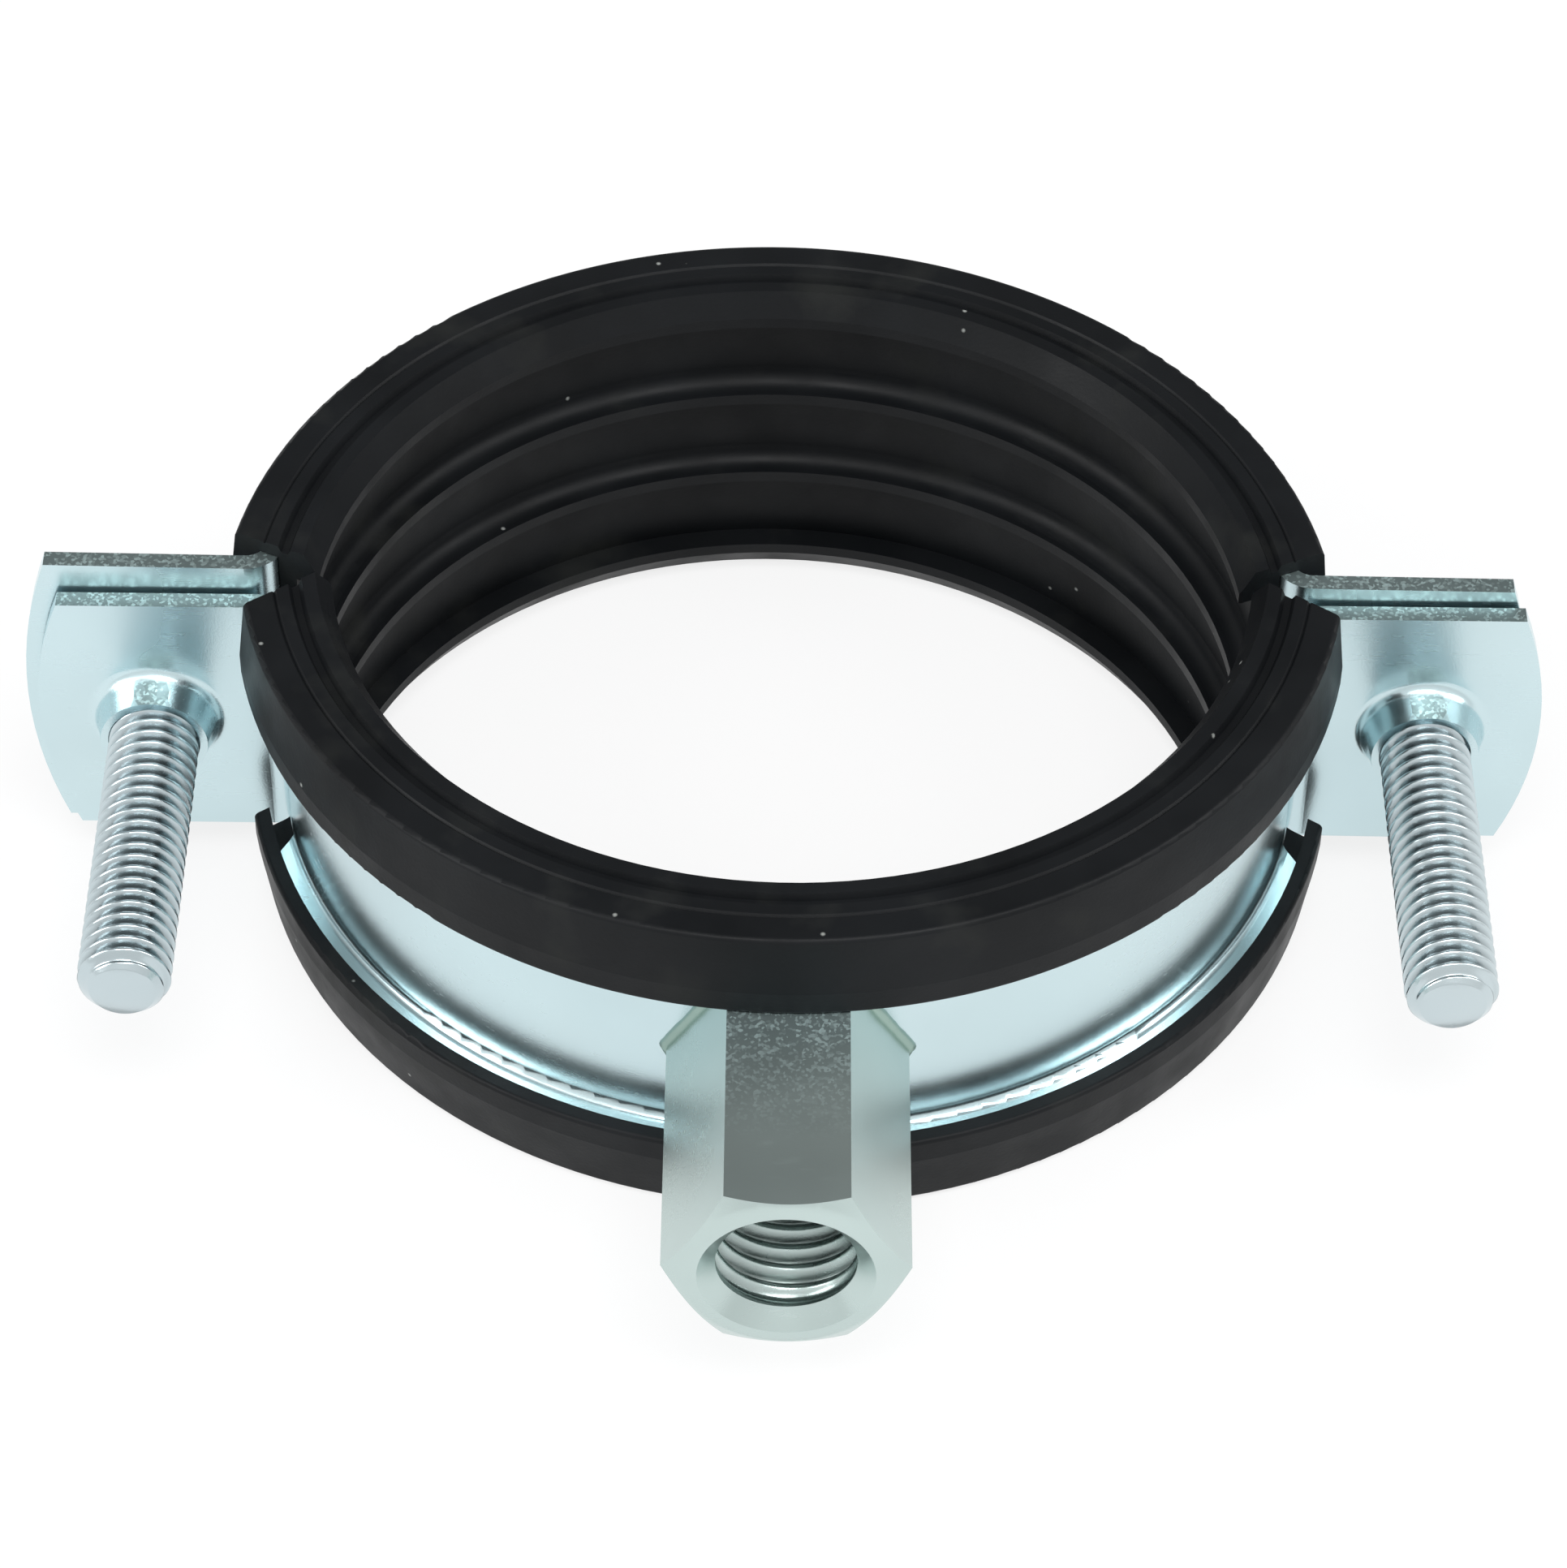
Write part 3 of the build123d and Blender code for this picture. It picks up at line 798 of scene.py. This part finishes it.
def make_floor(stage):
    """Round pale floor under the liner rims."""
    level = CAD_BOX[0][2]
    work = bmesh.new()
    bmesh.ops.create_circle(work, cap_ends=True, segments=FLOOR_SEGMENTS, radius=FLOOR_RADIUS,
                            matrix=Matrix.Translation((0, 0, level)))
    mesh = bpy.data.meshes.new("floor")
    work.to_mesh(mesh)
    work.free()
    floor = bpy.data.objects.new("floor", mesh)
    bpy.context.scene.collection.objects.link(floor)
    finish = bpy.data.materials.new("floor_paper")
    finish.use_nodes = True
    tree = finish.node_tree
    shader = tree.nodes["Principled BSDF"]
    place = node(tree, "ShaderNodeTexCoord")
    paper = ramp(tree, noise(tree, place.outputs["Object"], 900.0, 3.0), 0.3, 0.7)
    tone = tuple(stage.floor_tone)
    link(tree, mix_colour(tree, paper, tuple(c * 0.985 for c in tone), tone), shader.inputs["Base Color"])
    shader.inputs["Roughness"].default_value = 0.9
    shader.inputs["Specular IOR Level"].default_value = 0.1
    glow = node(tree, "ShaderNodeEmission")
    glow.inputs["Strength"].default_value = 1.0
    glow.inputs["Color"].default_value = (1.0, 1.0, 1.0, 1.0)
    path = node(tree, "ShaderNodeLightPath")
    seen = calc(tree, "MAXIMUM", path.outputs["Is Camera Ray"], path.outputs["Is Glossy Ray"])
    seen = calc(tree, "MAXIMUM", seen, path.outputs["Is Transmission Ray"])
    blend = node(tree, "ShaderNodeMixShader")
    link(tree, calc(tree, "MULTIPLY", seen, 0.8), blend.inputs["Fac"])
    link(tree, shader.outputs[0], blend.inputs[1])
    link(tree, glow.outputs[0], blend.inputs[2])
    link(tree, blend.outputs[0], tree.nodes["Material Output"].inputs["Surface"])
    floor.data.materials.append(finish)


def make_world():
    """White room: plain for the camera, softer as light, with darker low sides."""
    world = bpy.data.worlds.new("studio")
    bpy.context.scene.world = world
    world.use_nodes = True
    tree = world.node_tree
    back = tree.nodes["Background"]
    back.inputs["Color"].default_value = (1.0, 1.0, 1.0, 1.0)
    path = node(tree, "ShaderNodeLightPath")
    place = node(tree, "ShaderNodeTexCoord")
    split = node(tree, "ShaderNodeSeparateXYZ")
    link(tree, place.outputs["Generated"], split.inputs[0])
    room = ramp(tree, split.outputs["Z"], -0.2, 0.85, 0.75, 0.95)
    card = node(tree, "ShaderNodeVectorMath", operation="DOT_PRODUCT")
    link(tree, place.outputs["Generated"], card.inputs[0])
    card.inputs[1].default_value = (0.0, 0.69, 0.72)
    shade = ramp(tree, card.outputs["Value"], 0.35, 0.92, 1.0, 0.26)
    room = calc(tree, "MULTIPLY", room, shade)
    plain = calc(tree, "MAXIMUM", path.outputs["Is Camera Ray"], path.outputs["Is Transmission Ray"])
    strength = calc(tree, "MAXIMUM", room, plain)
    link(tree, strength, back.inputs["Strength"])


def area_lamp(name, place, aim, size, power):
    lamp = bpy.data.lights.new(name, "AREA")
    lamp.shape = "RECTANGLE"
    lamp.size, lamp.size_y = size
    lamp.energy = power
    made = bpy.data.objects.new(name, lamp)
    bpy.context.scene.collection.objects.link(made)
    made.location = place
    made.rotation_euler = (Vector(aim) - Vector(place)).to_track_quat("-Z", "Y").to_euler()
    return made


def make_lamps():
    """Large soft lamps over and beside the clamp."""
    area_lamp("lamp_top", (0.05, -0.30, 0.75), (0, 0, 0), (0.5, 0.3), 3.2)
    area_lamp("lamp_left", (-0.6, -0.2, 0.4), (0, 0, 0), (0.3, 0.45), 2.4)
    area_lamp("lamp_right", (0.55, -0.1, 0.45), (0, 0, 0), (0.25, 0.4), 1.6)


def make_camera(stage):
    """Camera from its angles, distance and focal length in image pixels."""
    turn, tilt, roll = stage.azimuth, stage.elevation, stage.roll
    away = Vector((sin(turn) * cos(tilt), -cos(turn) * cos(tilt), sin(tilt)))
    level = Vector((cos(turn), sin(turn), 0.0))
    upright = away.cross(level)
    right = cos(roll) * level - sin(roll) * upright
    top = sin(roll) * level + cos(roll) * upright
    data = bpy.data.cameras.new("camera")
    data.sensor_fit = "HORIZONTAL"
    data.sensor_width = SENSOR_MM
    data.lens = stage.focus_pixels / IMAGE_WIDTH * SENSOR_MM
    data.clip_start = 0.01
    camera = bpy.data.objects.new("camera", data)
    bpy.context.scene.collection.objects.link(camera)
    place = Vector(stage.target) + stage.distance * away
    axes = Matrix((right, top, away)).transposed().to_4x4()
    camera.matrix_world = Matrix.Translation(place) @ axes
    bpy.context.scene.camera = camera


class CLAMP_PT_panel(bpy.types.Panel):
    """Sidebar panel that lists the steps"""

    bl_idname = "CLAMP_PT_panel"
    bl_label = "Pipe clamp"
    bl_space_type = "VIEW_3D"
    bl_region_type = "UI"
    bl_category = "Pipe clamp"

    def draw(self, context):
        for step in STEPS:
            self.layout.operator(step.bl_idname)
        for group in ("clamp_thread", "clamp_finish", "clamp_stage"):
            settings = getattr(context.scene, group)
            box = self.layout.box()
            for field in settings.__annotations__:
                box.prop(settings, field)


STEPS = (CLAMP_OT_finishes, CLAMP_OT_nut, CLAMP_OT_weld, CLAMP_OT_screws, CLAMP_OT_stage)
SETTINGS = (
    ("clamp_thread", ThreadSettings),
    ("clamp_finish", FinishSettings),
    ("clamp_stage", StageSettings),
)


def register():
    for name, group in SETTINGS:
        bpy.utils.register_class(group)
        setattr(bpy.types.Scene, name, PointerProperty(type=group))
    for step in STEPS:
        bpy.utils.register_class(step)
    bpy.utils.register_class(CLAMP_PT_panel)


def unregister():
    bpy.utils.unregister_class(CLAMP_PT_panel)
    for step in reversed(STEPS):
        bpy.utils.unregister_class(step)
    for name, group in reversed(SETTINGS):
        delattr(bpy.types.Scene, name)
        bpy.utils.unregister_class(group)


def main():
    register()
    for step in STEPS:
        group, name = step.bl_idname.split(".")
        getattr(getattr(bpy.ops, group), name)()
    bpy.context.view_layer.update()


if __name__ == "__main__":
    main()
